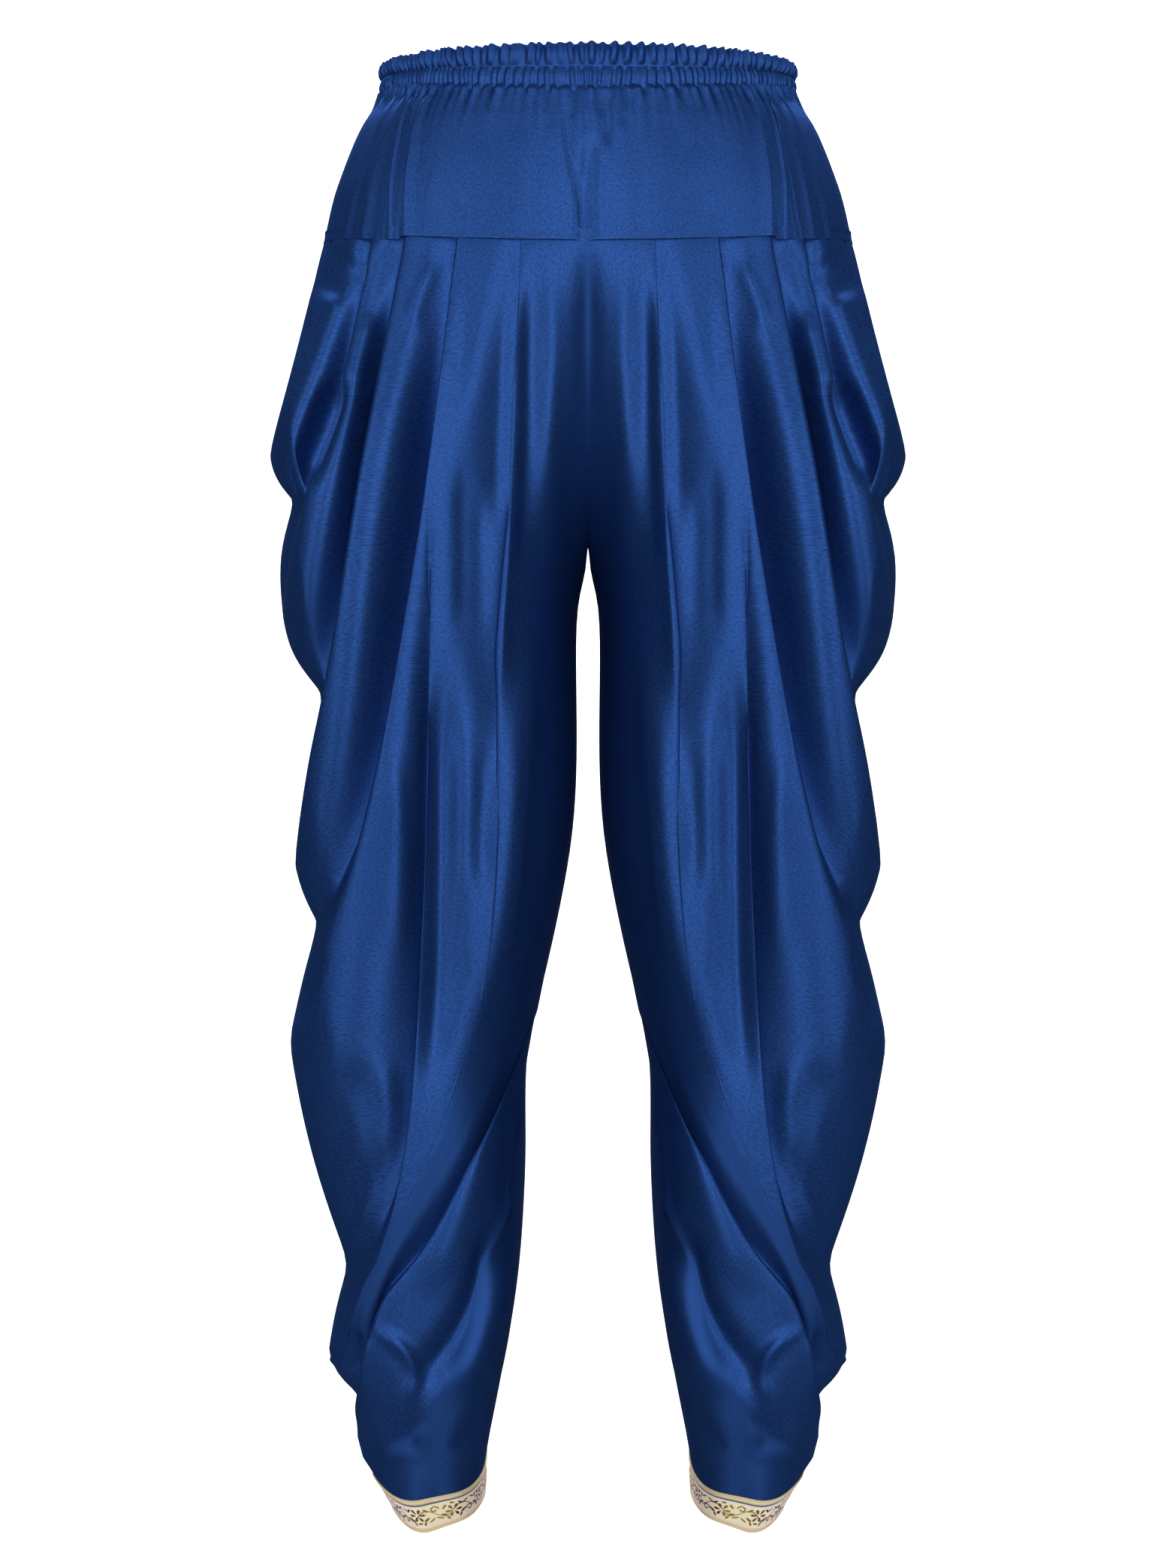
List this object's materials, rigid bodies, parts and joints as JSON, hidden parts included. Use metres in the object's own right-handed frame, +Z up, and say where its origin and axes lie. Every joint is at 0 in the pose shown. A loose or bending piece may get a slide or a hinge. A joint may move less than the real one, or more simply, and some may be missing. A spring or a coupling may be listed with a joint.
{
  "type": "dhoti pants",
  "caption": "Loose satin trousers with a gathered elastic waist, a smooth hip yoke, cowl folds draped at the sides and a woven gold border at each ankle, shown filled out with no wearer.",
  "frame": {"origin": "middle of the waist opening, at the height of the elastic at the front, where the wearer holds the garment up", "axes": "+Z up along the wearer, the front of the garment faces -Y, +X is the wearer's left side"},
  "size_m": [0.433, 0.233, 0.9878],
  "materials": {
    "satin": "satin",
    "border": "satin"
  },
  "bodies": {
    "root": {"waistband": "satin", "yoke_front": "satin", "yoke_back": "satin", "leg_left": "satin", "leg_right": "satin", "cuff_left": "border", "cuff_right": "border"}
  },
  "joints": []
}
